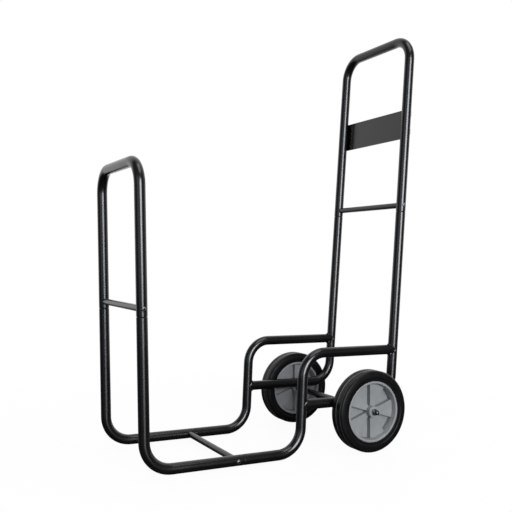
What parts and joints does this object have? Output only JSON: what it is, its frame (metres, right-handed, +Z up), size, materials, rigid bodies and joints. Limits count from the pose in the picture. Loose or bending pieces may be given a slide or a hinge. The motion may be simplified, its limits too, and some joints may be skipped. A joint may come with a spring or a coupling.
{
  "type": "firewood cart",
  "caption": "Two-wheeled firewood cart: bent tube frame with a front hoop, low log bed, tall handle with a flat plate, and ribbed tyres on grey wheel centres.",
  "frame": {"origin": "on the floor, in the middle of the cart's length and width", "axes": "+Z up, +X towards the handle, -Y towards the left wheel as seen by the person who pushes"},
  "size_m": [0.7812, 0.4326, 1.0822],
  "materials": {
    "frame_paint": "satin black powder coat",
    "black_fastener": "black oxide",
    "zinc_plate": "zinc plated",
    "tyre_rubber": "matt rubber",
    "wheel_plastic": "fine grain"
  },
  "bodies": {
    "frame": {"front_hoop": "frame_paint", "left_front_tube": "frame_paint", "right_front_tube": "frame_paint", "left_rear_tube": "frame_paint", "right_rear_tube": "frame_paint", "left_upright": "frame_paint", "right_upright": "frame_paint", "handle_hoop": "frame_paint", "handle_plate": "frame_paint", "front_cross_tube": "frame_paint", "base_cross_tube": "frame_paint", "handle_cross_tube": "frame_paint", "axle_tube": "frame_paint", "front_bolts": "black_fastener", "base_bolts": "black_fastener", "handle_bolts": "black_fastener", "dome_nuts": "black_fastener", "front_thread_plugs": "zinc_plate", "base_thread_plugs": "zinc_plate", "handle_thread_plugs": "zinc_plate", "axle": "zinc_plate", "inner_washers": "zinc_plate", "outer_washers": "zinc_plate"},
    "left_wheel": {"left_tyre": "tyre_rubber", "left_wheel_hub": "wheel_plastic"},
    "right_wheel": {"right_tyre": "tyre_rubber", "right_wheel_hub": "wheel_plastic"}
  },
  "joints": [
    {"name": "left_wheel_spin", "type": "hinge", "parent": "frame", "child": "left_wheel", "pos_m": [0.20999, -0.18, 0.1015], "axis": [0, 1, 0], "continuous": true},
    {"name": "right_wheel_spin", "type": "hinge", "parent": "frame", "child": "right_wheel", "pos_m": [0.20999, 0.18, 0.1015], "axis": [0, 1, 0], "continuous": true}
  ]
}
